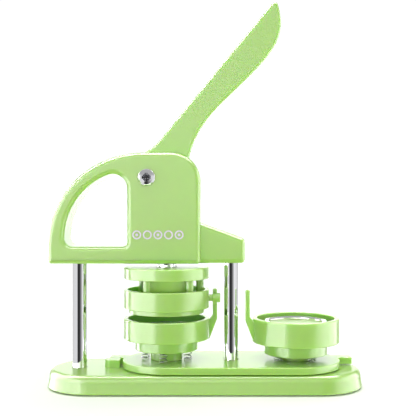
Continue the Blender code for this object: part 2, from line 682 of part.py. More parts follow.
def make_die_b():
    at = (TURNTABLE_X + DIE_ORBIT, 0, 0)
    cup = turned("die_b_cup",
                 [(CUP_WALL_R, CUP_RIM), (40.9, CUP_RIM), (41.5, CUP_RIM - 0.6), (41.5, 43.2), (40.9, 42.6), (30, 42.6),
                  (30, 31.9), (29.4, 31.3), (15.4, 31.3), (15.4, 45.4), (CUP_WALL_R, 45.4)],
                 GREEN, DIE_B, at, steps=ROUND)
    join(cup, switch_arm("b", DIE_B, -1, 1))
    cut(cup, *die_springs("b", DIE_B, at, 22.3, 35, 38))
    post = turned("die_b_post",
                  [(0, 60.5), (25.6, 60.5), (25.6, 49.7), (29.7, 49.7), (29.7, 45.7), (15, 45.7),
                   (15, PLATE_TOP + GAP), (0, PLATE_TOP + GAP)],
                  GREEN, TURNTABLE, at)
    cut(post, cylinder("die_b_thread", 2.7, 10, 42, parent=TURNTABLE, at=at, sides=SMALL, cutter=True))
    turned("die_b_crimp_ring", [(27, 63), (29.2, 63), (29.7, 62.5), (29.7, 50), (25.9, 50), (25.9, 62)],
           CHROME, TURNTABLE, at, steps=ROUND)
    die_screw("b", at, 40)


def die_screw(die, at, top):
    turned(f"die_{die}_screw",
           [(0, top), (2.4, top), (2.4, 21.9), (4.8, 21.9), (4.8, 20), (4.2, PLATE_BOTTOM + 0.4), (0, PLATE_BOTTOM + 0.4)],
           STEEL, TURNTABLE, at, steps=SMALL)


make_base()
make_base_cover()
make_columns()
make_head()
make_pivot()
make_lever()
make_plunger()
make_punch()
make_upper_ring()
make_selector()
make_turntable()
make_die_a()
make_die_b()
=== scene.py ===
"""Looks of the button badge maker: fine meshes, materials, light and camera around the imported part.

Sizes are millimetres in the part's own frame, and every helper turns them into metres.
"""

import json
import math

import bmesh
import bpy
from mathutils import Matrix, Vector

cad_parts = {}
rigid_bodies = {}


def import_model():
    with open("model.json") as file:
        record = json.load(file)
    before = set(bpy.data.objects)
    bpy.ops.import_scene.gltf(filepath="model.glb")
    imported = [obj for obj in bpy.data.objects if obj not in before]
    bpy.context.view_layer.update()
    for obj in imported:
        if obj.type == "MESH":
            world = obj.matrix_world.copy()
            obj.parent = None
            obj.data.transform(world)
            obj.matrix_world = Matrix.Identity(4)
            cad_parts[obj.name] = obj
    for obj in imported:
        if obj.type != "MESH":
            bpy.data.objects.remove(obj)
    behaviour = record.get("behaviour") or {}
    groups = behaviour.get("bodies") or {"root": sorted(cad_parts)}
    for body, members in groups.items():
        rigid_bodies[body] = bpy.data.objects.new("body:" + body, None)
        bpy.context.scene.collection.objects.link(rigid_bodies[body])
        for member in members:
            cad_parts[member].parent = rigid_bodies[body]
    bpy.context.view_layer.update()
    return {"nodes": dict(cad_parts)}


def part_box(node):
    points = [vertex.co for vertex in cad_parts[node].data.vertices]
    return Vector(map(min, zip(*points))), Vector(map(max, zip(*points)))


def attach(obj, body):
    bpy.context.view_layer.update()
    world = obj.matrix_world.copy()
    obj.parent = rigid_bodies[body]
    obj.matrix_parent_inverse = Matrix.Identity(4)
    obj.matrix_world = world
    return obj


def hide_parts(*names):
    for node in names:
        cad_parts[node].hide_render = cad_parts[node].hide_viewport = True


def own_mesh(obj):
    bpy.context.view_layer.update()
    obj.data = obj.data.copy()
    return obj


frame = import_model()

MM = 0.001
ROUND = 160                     # sides of a large turned piece
SMALL = 64                      # sides of a small one
WELD = 1e-6                     # metres
CREASE = math.radians(32)       # edges sharper than this stay sharp


# ---------------------------------------------------------------- places read from the frame

def low_high(node):
    """A node's lowest and highest corner in millimetres."""
    low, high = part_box(node)
    return low / MM, high / MM


def middle(node):
    low, high = low_high(node)
    return (low + high) / 2


def upright(node):
    """Radius, bottom and top of a round piece that stands upright."""
    low, high = low_high(node)
    return (high.x - low.x) / 2, low.z, high.z


BASE_LOW, BASE_HIGH = low_high("base_shell")
PLATE_LOW, PLATE_HIGH = low_high("turntable_plate")
HEAD_LOW, HEAD_HIGH = low_high("head_front_shell")
LEVER_LOW, LEVER_HIGH = low_high("lever")
COLUMN_X = {"left": middle("column_left").x, "right": middle("column_right").x}
TURNTABLE_X = COLUMN_X["right"]
PUNCH_X = middle("plunger_rod").x
DIE_B_X = middle("die_b_crimp_ring").x
DIE_ORBIT = DIE_B_X - TURNTABLE_X
PIVOT = Vector((middle("pivot_nut").x, 0, middle("pivot_nut").z))
SOCKET_R = upright("column_left")[0] + 0.2
HEAD_HALF = -HEAD_LOW.y
HEAD_BOTTOM = HEAD_LOW.z
HEAD_TOP = HEAD_HIGH.z
HEAD_LEFT = HEAD_LOW.x
HEAD_RIGHT = -4.3               # right side of the block, where the arm leaves it
HEAD_WALL = 3
ROD_BORE_R = 9.9                # in the pieces that the rod goes through
GAP = 0.3                       # between pieces that touch
PLATE_TOP = PLATE_HIGH.z
BASE_END = BASE_HIGH.x - BASE_HIGH.y    # from the middle to the centre of the base's round end


# ---------------------------------------------------------------- materials

def shader_material(name, colour, roughness, metallic=0.0):
    made = bpy.data.materials.new(name)
    made.use_nodes = True
    shader = made.node_tree.nodes["Principled BSDF"]
    shader.inputs["Base Color"].default_value = (*colour, 1)
    shader.inputs["Roughness"].default_value = roughness
    shader.inputs["Metallic"].default_value = metallic
    made.diffuse_color = (*colour, 1)
    return made, made.node_tree, shader


def object_noise(tree, scale, detail=3.0, stretch=(1, 1, 1)):
    """Noise fixed to the piece, with scale in bumps per metre."""
    place = tree.nodes.new("ShaderNodeTexCoord")
    mapping = tree.nodes.new("ShaderNodeMapping")
    mapping.inputs["Scale"].default_value = stretch
    noise = tree.nodes.new("ShaderNodeTexNoise")
    noise.inputs["Scale"].default_value = scale
    noise.inputs["Detail"].default_value = detail
    tree.links.new(place.outputs["Object"], mapping.inputs["Vector"])
    tree.links.new(mapping.outputs["Vector"], noise.inputs["Vector"])
    return noise.outputs["Fac"]


def ramp(tree, value, stops):
    """Colours by value. A stop is (place, colour)."""
    made = tree.nodes.new("ShaderNodeValToRGB")
    elements = made.color_ramp.elements
    while len(elements) < len(stops):
        elements.new(0.5)
    for element, (place, colour) in zip(elements, stops):
        element.position = place
        element.color = (*colour, 1)
    tree.links.new(value, made.inputs["Fac"])
    return made.outputs["Color"]


def spread(tree, value, low, high):
    """The middle of a noise, 0.3 to 0.7, spread over a range."""
    made = tree.nodes.new("ShaderNodeMapRange")
    made.inputs["From Min"].default_value = 0.3
    made.inputs["From Max"].default_value = 0.7
    made.inputs["To Min"].default_value = low
    made.inputs["To Max"].default_value = high
    tree.links.new(value, made.inputs["Value"])
    return made.outputs["Result"]


def bump(tree, shader, height, strength, distance):
    made = tree.nodes.new("ShaderNodeBump")
    made.inputs["Strength"].default_value = strength
    made.inputs["Distance"].default_value = distance
    tree.links.new(height, made.inputs["Height"])
    tree.links.new(made.outputs["Normal"], shader.inputs["Normal"])


def green_abs():
    """Glossy moulded ABS: even lime green with a little light scattered inside."""
    made, tree, shader = shader_material("green_abs", (0.395, 0.636, 0.155), 0.32)
    flow = object_noise(tree, 9, 1)
    green = ramp(tree, flow, [(0.3, (0.393, 0.634, 0.153)), (0.7, (0.397, 0.638, 0.157))])
    tree.links.new(green, shader.inputs["Base Color"])
    tree.links.new(spread(tree, object_noise(tree, 60, 2), 0.235, 0.245), shader.inputs["Roughness"])
    shader.inputs["IOR"].default_value = 1.56
    shader.inputs["Subsurface Weight"].default_value = 1.0
    shader.inputs["Subsurface Radius"].default_value = (0.7, 1, 0.3)
    shader.inputs["Subsurface Scale"].default_value = 0.006
    return made


def chrome():
    """Hard chrome on a ground bar: mirror bright, with faint lines along the bar."""
    made, tree, shader = shader_material("chrome", (0.82, 0.82, 0.84), 0.06, 1.0)
    lines = object_noise(tree, 900, 2, (1, 1, 0.02))
    tree.links.new(spread(tree, lines, 0.035, 0.085), shader.inputs["Roughness"])
    bump(tree, shader, lines, 0.03, 0.00002)
    return made


def zinc_steel():
    """Bright zinc plate with a slightly cloudy surface."""
    made, tree, shader = shader_material("zinc_steel", (0.66, 0.66, 0.68), 0.24, 1.0)
    cloud = object_noise(tree, 420, 4)
    tint = ramp(tree, cloud, [(0.3, (0.58, 0.58, 0.61)), (0.7, (0.72, 0.72, 0.73))])
    tree.links.new(tint, shader.inputs["Base Color"])
    tree.links.new(spread(tree, cloud, 0.17, 0.32), shader.inputs["Roughness"])
    bump(tree, shader, object_noise(tree, 2400, 2), 0.06, 0.00003)
    return made


def spring_steel():
    """Drawn spring wire, bright with fine draw marks."""
    made, tree, shader = shader_material("spring_steel", (0.62, 0.62, 0.63), 0.2, 1.0)
    marks = object_noise(tree, 1500, 3)
    tint = ramp(tree, marks, [(0.35, (0.5, 0.5, 0.51)), (0.65, (0.7, 0.7, 0.7))])
    tree.links.new(tint, shader.inputs["Base Color"])
    tree.links.new(spread(tree, marks, 0.14, 0.28), shader.inputs["Roughness"])
    return made


def rubber():
    """Black moulded rubber with a matt, slightly dusty surface."""
    made, tree, shader = shader_material("rubber", (0.025, 0.025, 0.025), 0.75)
    dust = object_noise(tree, 700, 4)
    tint = ramp(tree, dust, [(0.4, (0.02, 0.02, 0.02)), (0.75, (0.045, 0.045, 0.043))])
    tree.links.new(tint, shader.inputs["Base Color"])
    tree.links.new(spread(tree, dust, 0.65, 0.85), shader.inputs["Roughness"])
    bump(tree, shader, dust, 0.2, 0.0001)
    return made


def nylon():
    """Natural nylon: warm white and waxy."""
    made, tree, shader = shader_material("nylon", (0.78, 0.77, 0.7), 0.45)
    cloud = object_noise(tree, 200, 3)
    tint = ramp(tree, cloud, [(0.3, (0.74, 0.73, 0.65)), (0.7, (0.8, 0.79, 0.73))])
    tree.links.new(tint, shader.inputs["Base Color"])
    tree.links.new(spread(tree, cloud, 0.38, 0.52), shader.inputs["Roughness"])
    return made


def print_ink():
    """Pad-printed ink, thin, pale and a little uneven."""
    made, tree, shader = shader_material("print_ink", (0.8, 0.76, 0.82), 0.5)
    cover = object_noise(tree, 1800, 3)
    tint = ramp(tree, cover, [(0.3, (0.76, 0.72, 0.8)), (0.7, (0.84, 0.8, 0.86))])
    tree.links.new(tint, shader.inputs["Base Color"])
    tree.links.new(spread(tree, cover, 0.42, 0.55), shader.inputs["Roughness"])
    return made


GREEN = green_abs()
CHROME = chrome()
STEEL = zinc_steel()
SPRING = spring_steel()
RUBBER = rubber()
NYLON = nylon()
INK = print_ink()


# ---------------------------------------------------------------- mesh helpers

TURN_TO = {
    "Z": Matrix.Identity(4),
    "-Y": Matrix.Rotation(math.radians(90), 4, "X"),
    "Y": Matrix.Rotation(math.radians(-90), 4, "X"),
    "X": Matrix.Rotation(math.radians(90), 4, "Y"),
    "-Z": Matrix.Rotation(math.radians(180), 4, "X"),
}


def placed(at, direction):
    """Local millimetres along +Z to world metres along the given direction, from the point at."""
    return Matrix.Translation(Vector(at) * MM) @ TURN_TO[direction] @ Matrix.Scale(MM, 4)


def object_from(name, bm, matrix):
    bm.transform(matrix)
    bmesh.ops.recalc_face_normals(bm, faces=bm.faces)
    mesh = bpy.data.meshes.new(name)
    bm.to_mesh(mesh)
    bm.free()
    obj = bpy.data.objects.new(name, mesh)
    bpy.context.scene.collection.objects.link(obj)
    return obj


def arc(centre, radius, start, end, steps):
    """Points on an arc between two angles in degrees, both ends included."""
    angles = [math.radians(start + (end - start) * i / steps) for i in range(steps + 1)]
    return [(centre[0] + radius * math.cos(a), centre[1] + radius * math.sin(a)) for a in angles]


def rounded(corners, default, closed=True, steps=5):
    """A polygon with its corners turned into arcs. A corner is (x, y), or (x, y, its own radius)."""
    points = []
    count = len(corners)
    for i, corner in enumerate(corners):
        here = Vector(corner[:2])
        radius = corner[2] if len(corner) > 2 else default
        if radius == 0 or (not closed and i in (0, count - 1)):
            points.append(tuple(here))
            continue
        before = Vector(corners[i - 1][:2]) - here
        after = Vector(corners[(i + 1) % count][:2]) - here
        half = before.angle(after) / 2
        reach = min(radius / math.tan(half), 0.48 * before.length, 0.48 * after.length)
        radius = reach * math.tan(half)
        centre = here + (before.normalized() + after.normalized()).normalized() * (radius / math.sin(half))
        first = here + before.normalized() * reach - centre
        last = here + after.normalized() * reach - centre
        start = math.degrees(math.atan2(first.y, first.x))
        sweep = (math.degrees(math.atan2(last.y, last.x)) - start + 180) % 360 - 180
        points += arc(centre, radius, start, start + sweep, steps)
    return points


def smooth_run(points, steps):
    """A Catmull-Rom curve through the points."""
    run = []
    for i in range(len(points) - 1):
        before, a, b, after = (Vector(points[min(max(i + k, 0), len(points) - 1)]) for k in (-1, 0, 1, 2))
        for step in range(steps):
            t = step / steps
            run.append(tuple(
                (2 * a + (b - before) * t + (2 * before - 5 * a + 4 * b - after) * t ** 2
                 + (3 * a - before - 3 * b + after) * t ** 3) / 2))
    run.append(tuple(points[-1]))
    return run


def turned(name, profile, at=(0, 0, 0), direction="Z", sides=ROUND):
    """A turned solid from (radius, height) points. It is closed unless it starts and ends on the axis."""
    bm = bmesh.new()
    rings = []
    for radius, height in profile:
        if radius < WELD:
            rings.append([bm.verts.new((0, 0, height))])
            continue
        turns = [2 * math.pi * i / sides for i in range(sides)]
        rings.append([bm.verts.new((radius * math.cos(t), radius * math.sin(t), height)) for t in turns])
    following = rings[1:] if profile[0][0] < WELD else rings[1:] + rings[:1]
    for upper, lower in zip(rings, following):
        for i in range(sides):
            ring = (upper[i % len(upper)], upper[(i + 1) % sides % len(upper)],
                    lower[(i + 1) % sides % len(lower)], lower[i % len(lower)])
            face = list(dict.fromkeys(ring))
            if len(face) > 2:
                bm.faces.new(face)
    return object_from(name, bm, placed(at, direction))


def stadium_loft(name, profile, half_length):
    """Stadium rings (radius, height) joined in order, the first and the last one filled."""
    bm = bmesh.new()
    rings = []
    for radius, height in profile:
        ring = []
        for i in range(ROUND):
            turn = 2 * math.pi * (i + 0.5) / ROUND
            x = radius * math.cos(turn)
            ring.append(bm.verts.new((x + math.copysign(half_length, x), radius * math.sin(turn), height)))
        rings.append(ring)
    for lower, upper in zip(rings, rings[1:]):
        for i in range(ROUND):
            j = (i + 1) % ROUND
            bm.faces.new((lower[i], lower[j], upper[j], upper[i]))
    bm.faces.new(rings[0])
    bm.faces.new(rings[-1])
    return object_from(name, bm, Matrix.Scale(MM, 4))


def outline_solid(name, loops, low, high, edge=0.0, standing=True, steps=5):
    """A flat outline with holes, extruded from low to high with rounded edges.

    A standing one is drawn in X and Z and extruded along Y, with high at the back.
    """
    curve = bpy.data.curves.new(name, "CURVE")
    curve.dimensions = "2D"
    curve.fill_mode = "BOTH"
    for loop in loops:
        spline = curve.splines.new("POLY")
        spline.points.add(len(loop) - 1)
        spline.use_cyclic_u = True
        for point, (x, y) in zip(spline.points, loop):
            point.co = (x * MM, y * MM, 0, 1)
    curve.extrude = ((high - low) / 2 - edge) * MM
    curve.bevel_depth = edge * MM
    curve.bevel_resolution = steps
    curve.offset = -edge * MM
    bm = bmesh.new()
    bm.from_mesh(curve_mesh(name, curve))
    bmesh.ops.remove_doubles(bm, verts=bm.verts, dist=WELD)
    halfway = (low + high) / 2 * MM
    if standing:
        matrix = Matrix.Translation((0, halfway, 0)) @ TURN_TO["-Y"]
    else:
        matrix = Matrix.Translation((0, 0, halfway))
    return object_from(name, bm, matrix)


def curve_mesh(name, curve):
    """A curve's solid as a mesh in the curve's own metres."""
    holder = bpy.data.objects.new(name + "_curve", curve)
    bpy.context.scene.collection.objects.link(holder)
    graph = bpy.context.evaluated_depsgraph_get()
    mesh = bpy.data.meshes.new_from_object(holder.evaluated_get(graph))
    bpy.data.objects.remove(holder)
    return mesh


def box(name, low, high, edge=0.0):
    """A block with rounded edges."""
    bm = bmesh.new()
    bmesh.ops.create_cube(bm, size=1)
    size = Vector(high) - Vector(low)
    bm.transform(Matrix.Translation((Vector(high) + Vector(low)) / 2) @ Matrix.Diagonal((*size, 1)))
    if edge:
        bmesh.ops.bevel(bm, geom=bm.edges, offset=edge, segments=4, profile=0.5, affect="EDGES")
    return object_from(name, bm, Matrix.Scale(MM, 4))


def combine(obj, operation, tools):
    """One Boolean for each tool, applied at once. The tools are used up."""
    for tool in tools:
        modifier = obj.modifiers.new(tool.name, "BOOLEAN")
        modifier.operation = operation
        modifier.solver = "EXACT"
        modifier.object = tool
    graph = bpy.context.evaluated_depsgraph_get()
    mesh = bpy.data.meshes.new_from_object(obj.evaluated_get(graph))
    obj.modifiers.clear()
    obj.data = mesh
    for tool in tools:
        bpy.data.objects.remove(tool)
    return obj


def cut(obj, *tools):
    return combine(obj, "DIFFERENCE", tools)


def join(obj, *tools):
    return combine(obj, "UNION", tools)


def hole(name, radius, low, high, at, direction="Z", flare=0.0):
    """A round cutter. With flare, its high end widens by that much at 45 degrees, and stays wide."""
    side = [(radius, low), (radius, high)]
    if flare:
        wide = radius + flare
        side = [(radius, low), (radius, high - 2 * flare), (wide, high - flare), (wide, high)]
    return turned(name, [(0, low), *side, (0, high)], at, direction, SMALL)


def shaded(obj):
    """Smooth faces with sharp creases, and normals that keep large flats flat."""
    obj.data.shade_smooth()
    obj.data.set_sharp_from_angle(angle=CREASE)
    normals = obj.modifiers.new("normals", "WEIGHTED_NORMAL")
    normals.keep_sharp = True
    normals.weight = 60


def piece(obj, finish, body, *nodes):
    """Finishes a piece: material, shading, the body it rides on, and the CAD nodes it stands for."""
    obj.data.materials.clear()
    obj.data.materials.append(finish)
    shaded(obj)
    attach(obj, body)
    if nodes:
        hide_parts(*nodes)
    return obj


def repaint(finish, *nodes):
    """A better finish for CAD nodes whose shape is right as it is."""
    for node in nodes:
        for material_slot in frame["nodes"][node].material_slots:
            material_slot.material = finish


# ---------------------------------------------------------------- outlines

def stadium_outline(half_length, radius, centre_x):
    return (arc((centre_x + half_length, 0), radius, -90, 90, SMALL)
            + arc((centre_x - half_length, 0), radius, 90, 270, SMALL))


def head_outline(inset=0.0):
    """The head's side view: upright left foot, superellipse shoulder, flat top and rounded corner."""
    power = 2 / 2.1
    steps = 56
    centre_x = -55
    shoulder_z = 132
    width = centre_x - HEAD_LEFT - inset
    height = HEAD_TOP - shoulder_z - inset
    shoulder = []
    for i in range(steps + 1):
        angle = math.radians(90 * i / steps)
        across = max(math.cos(angle), 0) ** power
        up = math.sin(angle) ** power
        shoulder.append((centre_x - width * across, shoulder_z + height * up))
    foot_r = 3.5
    corner_r = 27
    corner = arc((HEAD_RIGHT - corner_r, HEAD_TOP - corner_r), corner_r - inset, 90, 0, 24)
    rest = max(foot_r - inset, 0.5)
    right_foot = arc((HEAD_RIGHT - foot_r, HEAD_BOTTOM + foot_r), rest, 0, -90, 8)
    left_foot = arc((HEAD_LEFT + foot_r, HEAD_BOTTOM + foot_r), rest, 270, 180, 8)
    return shoulder + corner + right_foot + left_foot


def window_outline(grow=0.0):
    """The hand opening: a long arc on the left, an upright right side and three rounded corners."""
    arc_centre = Vector((-68.2, 142))
    arc_r = 64
    right = -73.2
    bottom = 134.4
    top_r = 13.5
    low_left_r = 8
    low_right_r = 4
    top_x = right - top_r
    top_z = arc_centre.y + math.sqrt((arc_r - top_r) ** 2 - (top_x - arc_centre.x) ** 2)
    left_z = bottom + low_left_r
    left_x = arc_centre.x - math.sqrt((arc_r - low_left_r) ** 2 - (left_z - arc_centre.y) ** 2)
    left_turn = math.degrees(math.atan2(left_z - arc_centre.y, left_x - arc_centre.x))
    top_turn = math.degrees(math.atan2(top_z - arc_centre.y, top_x - arc_centre.x))
    left_turn += 360 if left_turn < 0 else 0
    return (
        arc(arc_centre, arc_r + grow, left_turn, top_turn, 40)
        + arc((top_x, top_z), top_r + grow, top_turn, 0, 24)[1:]
        + arc((right - low_right_r, bottom + low_right_r), low_right_r + grow, 0, -90, 12)
        + arc((left_x, left_z), low_left_r + grow, 270, left_turn, 16)[:-1])


def arm_outline():
    """The head's arm over the right column, seen from the front. Its top slopes down."""
    start = HEAD_RIGHT - 8
    end = 37.9
    root_z = 156.7
    slope = 0.365
    foot_r = 4.2
    corner_r = 4.6
    top_at_end = root_z - slope * (end - HEAD_RIGHT)
    top_at_start = root_z + slope * (HEAD_RIGHT - start)
    corners = [(start, HEAD_BOTTOM, 0), (end, HEAD_BOTTOM, foot_r), (end, top_at_end, corner_r),
               (start, top_at_start, 0)]
    return rounded(corners, 0, steps=8)


def lever_outline():
    """Hub, cam and handle, seen from the front with the lever raised."""
    hub_r = 13
    cam_r = 18
    cam_throw = 21.2
    cam_turn = math.radians(14)
    cam = Vector((PIVOT.x, PIVOT.z)) + cam_throw * Vector((math.cos(cam_turn), math.sin(cam_turn)))
    right_edge = [
        (-15.2, 218.7), (-13.7, 224.4), (-10.4, 233.9), (-5.7, 243.4), (0.45, 253), (8, 262.5),
        (17.1, 272), (36.8, 291.1), (46.4, 300.6), (55.3, 310.1), (62.7, 319.6), (68.3, 329.1),
        (71.5, 338.7), (72.4, 348), (71.2, 357.7), (69.4, 364.6)]
    tip = [(67.6, 366.8), (65.2, 366.4), (62.6, 364)]
    heel = [(-40.6, 238.2), (-45.2, 232.8), (-50.6, 228), (-57.5, 223.8)]
    hub = arc((PIVOT.x, PIVOT.z), hub_r, 170, 268, 32)
    cam_edge = arc(cam, cam_r, 270, 360, 32)
    return hub + cam_edge + smooth_run(right_edge + tip, 5) + smooth_run(heel, 5)


# ---------------------------------------------------------------- screws and springs

def cross_cutter(name, at, direction, top, depth, size):
    """A cross recess, wide at the top and tapering downwards."""
    arm = size * 0.17
    outline = [(arm, size / 2), (arm, arm), (size / 2, arm)]
    flare = 1.08
    point = 0.4
    bm = bmesh.new()
    rings = []
    for scale, height in ((flare, top + 1), (1, top), (point, top - depth)):
        ring = []
        for quarter in range(4):
            turn = Matrix.Rotation(math.radians(-90 * quarter), 2)
            for corner in outline:
                spot = turn @ Vector(corner)
                ring.append(bm.verts.new((spot.x * scale, spot.y * scale, height)))
        rings.append(ring)
    count = len(rings[0])
    for upper, lower in zip(rings, rings[1:]):
        for i in range(count):
            bm.faces.new((upper[i], upper[(i + 1) % count], lower[(i + 1) % count], lower[i]))
    bm.faces.new(rings[0])
    bm.faces.new(rings[-1])
    return object_from(name, bm, placed(at, direction))


def pan_screw(name, node, at, direction, head_r, head_bottom, head_top, tip):
    """A domed screw with a cross recess, in the place of a CAD screw.

    Heights run along direction, with the head on top.
    """
    shank_r = 1.5
    rise = head_top - head_bottom
    profile = rounded(
        [(0, head_top), (head_r * 0.45, head_top), (head_r * 0.86, head_top - rise * 0.28),
         (head_r, head_bottom + rise * 0.3), (head_r, head_bottom, 0.15), (shank_r, head_bottom, 0.1),
         (shank_r, tip, 0.4), (0, tip)],
        head_r * 0.25, closed=False, steps=6)
    screw = turned(name, profile, at, direction, SMALL)
    cut(screw, cross_cutter(f"{name}_cross", at, direction, head_top, rise * 0.75, head_r * 1.15))
    piece(screw, STEEL, "frame", node)


def coil(name, radius, wire, low, high, turns, at):
    """A spring with its end turns closed, as a mesh."""
    sides = 28
    closed_turns = 0.75
    curve = bpy.data.curves.new(name, "CURVE")
    curve.dimensions = "3D"
    curve.bevel_depth = wire / 2 * MM
    curve.bevel_resolution = 3
    curve.use_fill_caps = True
    spline = curve.splines.new("POLY")
    count = int(turns * sides)
    spline.points.add(count)
    first = low + wire / 2
    rise = high - low - wire
    closed_share = closed_turns / turns
    closed_rise = closed_turns * wire / rise
    for i, point in enumerate(spline.points):
        share = i / count
        if share < closed_share:
            climb = share / closed_share * closed_rise
        elif share > 1 - closed_share:
            climb = 1 - (1 - share) / closed_share * closed_rise
        else:
            climb = closed_rise + (share - closed_share) / (1 - 2 * closed_share) * (1 - 2 * closed_rise)
        angle = 2 * math.pi * i / sides
        spot = Vector((radius * math.cos(angle), radius * math.sin(angle), first + rise * climb)) * MM
        point.co = (*spot, 1)
    bm = bmesh.new()
    bm.from_mesh(curve_mesh(name, curve))
    bmesh.ops.remove_doubles(bm, verts=bm.verts, dist=WELD)
    return object_from(name, bm, Matrix.Translation(Vector(at) * MM))


def spring(node, radius, wire, body):
    """A coil in the place of a CAD spring."""
    turns = 5
    low, high = low_high(node)
    centre = (low + high) / 2
    at = (centre.x, centre.y, 0)
    made = piece(coil(f"{node}_coil", radius, wire, low.z, high.z, turns, at), SPRING, body, node)
    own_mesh(made)


# ---------------------------------------------------------------- base

def make_base():
    """The base's hollow moulding, with the turn stop and the two column sockets in its top."""
    top = PLATE_LOW.z - 1
    side_r = BASE_HIGH.y
    draft = 1.2
    edge_in, edge_down = 4.8, 7.5
    wall = 3
    inside_draft = 1.8
    foot = BASE_LOW.z
    foot_steps = ((1.4, 0), (0.9, 0.1), (0.4, 0.4), (0.1, 0.9), (0, 1.5))
    inside = [(side_r - wall - inside_draft, top - wall), (side_r - wall, foot)]
    foot_edge = [(side_r - inward, foot + up) for inward, up in foot_steps]
    side = [(side_r - draft - edge_in * (1 - math.cos(math.radians(a))),
             top - edge_down * (1 - math.sin(math.radians(a)))) for a in range(0, 91, 6)]
    shell = stadium_loft("base_body", inside + foot_edge + side, BASE_END)
    stop_end = TURNTABLE_X - 106.5
    stop_half = 6.5
    stop_length = 14.7
    stop_round = (stop_end - stop_length + stop_half, 0)
    stop = [(stop_end, -stop_half), (stop_end, stop_half), *arc(stop_round, stop_half, 90, 270, 32)]
    join(shell, outline_solid("turn_stop", [stop], top - 2, PLATE_TOP, edge=0.7, standing=False))
    for side_name, x in COLUMN_X.items():
        cut(shell, hole(f"socket_{side_name}", SOCKET_R, top - wall - 1, top + 1.4, (x, 0, 0), flare=0.5))
    piece(shell, GREEN, "frame", "base_shell")


def make_base_cover():
    """The plate under the base, with its four sunk screws and the four feet."""
    low, high = low_high("base_cover")
    radius = high.y
    inner = radius - 2
    sink_r = 4.4
    sink_top = low.z + 0.5
    profile = [(inner, low.z, 0), (radius, low.z, 0.5), (radius, high.z, 0.3), (inner, high.z, 0)]
    cover = stadium_loft("base_bottom_cover", rounded(profile, 0, closed=False), BASE_END)
    screws = [f"cover_screw_{i}" for i in range(1, 5)]
    for i, node in enumerate(screws, 1):
        cut(cover, hole(f"cover_sink_{i}", sink_r, -1, sink_top, (*middle(node).xy, 0)))
    for i, node in enumerate(screws, 1):
        at = (*middle(node).xy, 0)
        head_r, bottom, top = upright(node)
        pan_screw(f"cover_pan_screw_{i}", node, at, "-Z", head_r, GAP - low.z, -bottom, -top)
    piece(cover, GREEN, "frame", "base_cover")
    for i in range(1, 5):
        make_foot(f"rubber_foot_{i}")


def make_foot(node):
    """A round rubber pad with a shallow cup in its underside."""
    radius, low, high = upright(node)
    cup = 0.7
    chamfer = 0.6
    profile = rounded(
        [(0, low + cup), (radius * 0.5, low + cup), (radius * 0.6, low), (radius - chamfer, low),
         (radius, low + 0.8), (radius, high), (0, high)], 0.25, closed=False)
    piece(turned(f"{node}_pad", profile, (*middle(node).xy, 0), sides=SMALL), RUBBER, "frame", node)


def make_columns():
    for side, x in COLUMN_X.items():
        radius, low, high = upright(f"column_{side}")
        profile = rounded([(0, high), (radius, high), (radius, low), (0, low)], 0.8, closed=False)
        piece(turned(f"column_bar_{side}", profile, (x, 0, 0)), CHROME, "frame", f"column_{side}")
    repaint(STEEL, *(f"column_{part}_{side}" for part in ("bolt", "washer") for side in COLUMN_X))


# ---------------------------------------------------------------- head

def head_screws():
    """(node, x, z) of each screw that closes the head. The last one is in the arm."""
    nodes = [f"head_screw_{i}" for i in range(1, 6)]
    return [(node, middle(node).x, middle(node).z) for node in nodes]


def head_cutters(name):
    """Room for the columns, the rod, the lever and the pivot bolt."""
    below = HEAD_BOTTOM - 8.3
    above = HEAD_TOP + 17.2
    rod_bore_r = 10.3
    pivot_bore_r = 4.3
    slot_half = LEVER_HIGH.y + 0.7
    slot_left, slot_right, slot_floor = -61.5, 10, 183
    sockets = [
        hole(f"{name}_{side}_socket", SOCKET_R, below, upright(f"column_{side}")[2] + 0.4, (x, 0, 0))
        for side, x in COLUMN_X.items()]
    return sockets + [
        hole(f"{name}_rod_hole", rod_bore_r, below, HEAD_BOTTOM + 3.7, (PUNCH_X, 0, 0)),
        box(f"{name}_lever_slot", (slot_left, -slot_half, slot_floor), (slot_right, slot_half, above)),
        hole(f"{name}_pivot_hole", pivot_bore_r, -2 * HEAD_HALF, 2 * HEAD_HALF, (PIVOT.x, 0, PIVOT.z), "-Y")]


def make_head_half(side):
    """side is -1 for the front half and +1 for the rear half."""
    name = "front" if side < 0 else "rear"
    inner = HEAD_HALF - HEAD_WALL
    half = outline_solid(
        f"head_{name}", [head_outline(), window_outline()], -HEAD_HALF, HEAD_HALF, edge=4.5, steps=7)
    hollow = [head_outline(HEAD_WALL), window_outline(HEAD_WALL)]
    cut(half, outline_solid(f"{name}_hollow", hollow, -inner, inner))
    arm_half = 12
    join(half, outline_solid(f"{name}_arm", [arm_outline()], -arm_half, arm_half, edge=4, steps=6))
    foot_r, foot_top = 12, 134.2
    boss_r = 5.6
    foot = hole(f"{name}_foot", foot_r, HEAD_BOTTOM + 1, foot_top, (COLUMN_X["left"], 0, 0))
    bosses = [hole(f"{name}_boss_{i}", boss_r, -inner - 1, inner + 1, (x, 0, z), "-Y")
              for i, (_, x, z) in enumerate(head_screws()[:-1])]
    join(half, foot, *bosses)
    cut(half, *head_cutters(name))
    if side > 0:
        counterbore_r, counterbore_floor = 3.8, 5
        for i, (_, x, z) in enumerate(head_screws()):
            cut(half, hole(f"counterbore_{i}", counterbore_r, counterbore_floor, 30, (x, 0, z), "Y"))
    low, high = sorted((-side * 2 * HEAD_HALF, side * GAP / 2))
    cut(half, box(f"{name}_parting", (HEAD_LEFT - 50, low, HEAD_BOTTOM - 30), (90, high, HEAD_TOP + 40)))
    piece(half, GREEN, "frame", f"head_{name}_shell")


